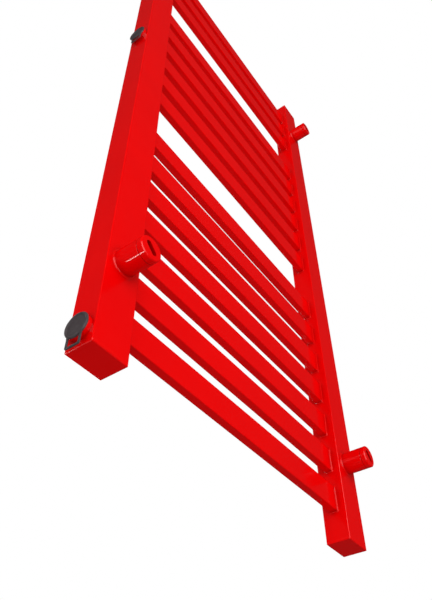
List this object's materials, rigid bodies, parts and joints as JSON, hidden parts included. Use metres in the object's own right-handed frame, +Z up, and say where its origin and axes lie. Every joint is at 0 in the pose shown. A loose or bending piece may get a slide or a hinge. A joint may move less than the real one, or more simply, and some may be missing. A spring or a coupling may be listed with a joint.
{
  "type": "ladder towel radiator",
  "caption": "Wall-hung ladder towel radiator: flat horizontal bars in groups between two rectangular collectors, with telescoping wall standoffs and side water ports.",
  "frame": {"origin": "centre of the four wall fixings, on the wall plane", "axes": "+Z up, -Y out of the wall into the room, +X towards the collector that carries the water ports"},
  "size_m": [0.5134, 0.068, 1.084],
  "materials": {
    "red_paint": "gloss powder coat, signal red",
    "bare_steel": "bare rolled steel, inside the collector",
    "plug_plastic": "moulded polyethylene, dark grey",
    "vent_chrome": "bright chrome plate on brass",
    "seal_rubber": "moulded rubber",
    "white_plastic": "moulded, white",
    "screw_brass": "turned brass",
    "black_steel": "black oxide steel"
  },
  "bodies": {
    "frame": {"collector_left": "red_paint", "collector_right": "red_paint", "end_plate_bottom_left": "red_paint", "end_plate_top_left": "red_paint", "end_plate_bottom_right": "red_paint", "end_plate_top_right": "red_paint", "bar_01": "red_paint", "bar_02": "red_paint", "bar_03": "red_paint", "bar_04": "red_paint", "bar_05": "red_paint", "bar_06": "red_paint", "bar_07": "red_paint", "bar_08": "red_paint", "bar_09": "red_paint", "bar_10": "red_paint", "bar_11": "red_paint", "bar_12": "red_paint", "bar_13": "red_paint", "bar_14": "red_paint", "bar_15": "red_paint", "bar_16": "red_paint", "flow_baffle": "bare_steel", "port_socket_lower": "red_paint", "port_socket_upper": "red_paint", "port_socket_vent": "red_paint", "vent_body": "vent_chrome", "vent_seal": "seal_rubber", "sleeve_bottom_left": "red_paint", "sleeve_bottom_right": "red_paint", "sleeve_top_left": "red_paint", "sleeve_top_right": "red_paint", "set_screws": "black_steel"},
    "lower_plug": {"port_plug_lower": "plug_plastic"},
    "upper_plug": {"port_plug_upper": "plug_plastic"},
    "lower_tab": {"pull_tab_lower": "plug_plastic"},
    "upper_tab": {"pull_tab_upper": "plug_plastic"},
    "vent_ring": {"vent_outlet": "white_plastic"},
    "bleed_screw": {"vent_screw": "screw_brass"},
    "standoff_bottom_left": {"wall_disc_bottom_left": "red_paint"},
    "standoff_bottom_right": {"wall_disc_bottom_right": "red_paint"},
    "standoff_top_left": {"wall_disc_top_left": "red_paint"},
    "standoff_top_right": {"wall_disc_top_right": "red_paint"}
  },
  "joints": [
    {"name": "lower_plug_pull", "type": "slide", "parent": "frame", "child": "lower_plug", "axis": [1, 0, 0], "range_m": [0, 0.016]},
    {"name": "lower_tab_bend", "type": "hinge", "parent": "lower_plug", "child": "lower_tab", "pos_m": [0.2569, -0.0515, -0.53305], "axis": [0, -1, 0], "range_deg": [0, 100], "stiffness_Nm_per_rad": 0.0004},
    {"name": "upper_plug_pull", "type": "slide", "parent": "frame", "child": "upper_plug", "axis": [1, 0, 0], "range_m": [0, 0.016]},
    {"name": "upper_tab_bend", "type": "hinge", "parent": "upper_plug", "child": "upper_tab", "pos_m": [0.2569, -0.0515, 0.06695], "axis": [0, -1, 0], "range_deg": [0, 100], "stiffness_Nm_per_rad": 0.0004},
    {"name": "standoff_bottom_left_slide", "type": "slide", "parent": "frame", "child": "standoff_bottom_left", "axis": [0, 1, 0], "range_m": [0, 0.012]},
    {"name": "standoff_bottom_right_slide", "type": "slide", "parent": "frame", "child": "standoff_bottom_right", "axis": [0, 1, 0], "range_m": [0, 0.012]},
    {"name": "standoff_top_left_slide", "type": "slide", "parent": "frame", "child": "standoff_top_left", "axis": [0, 1, 0], "range_m": [0, 0.012]},
    {"name": "standoff_top_right_slide", "type": "slide", "parent": "frame", "child": "standoff_top_right", "axis": [0, 1, 0], "range_m": [0, 0.012]},
    {"name": "vent_outlet_swivel", "type": "hinge", "parent": "frame", "child": "vent_ring", "pos_m": [0.2589, -0.0515, 0.5195], "axis": [1, 0, 0], "continuous": true},
    {"name": "bleed_screw_turn", "type": "hinge", "parent": "frame", "child": "bleed_screw", "pos_m": [0.2589, -0.0515, 0.5195], "axis": [1, 0, 0], "range_deg": [0, 450]}
  ]
}
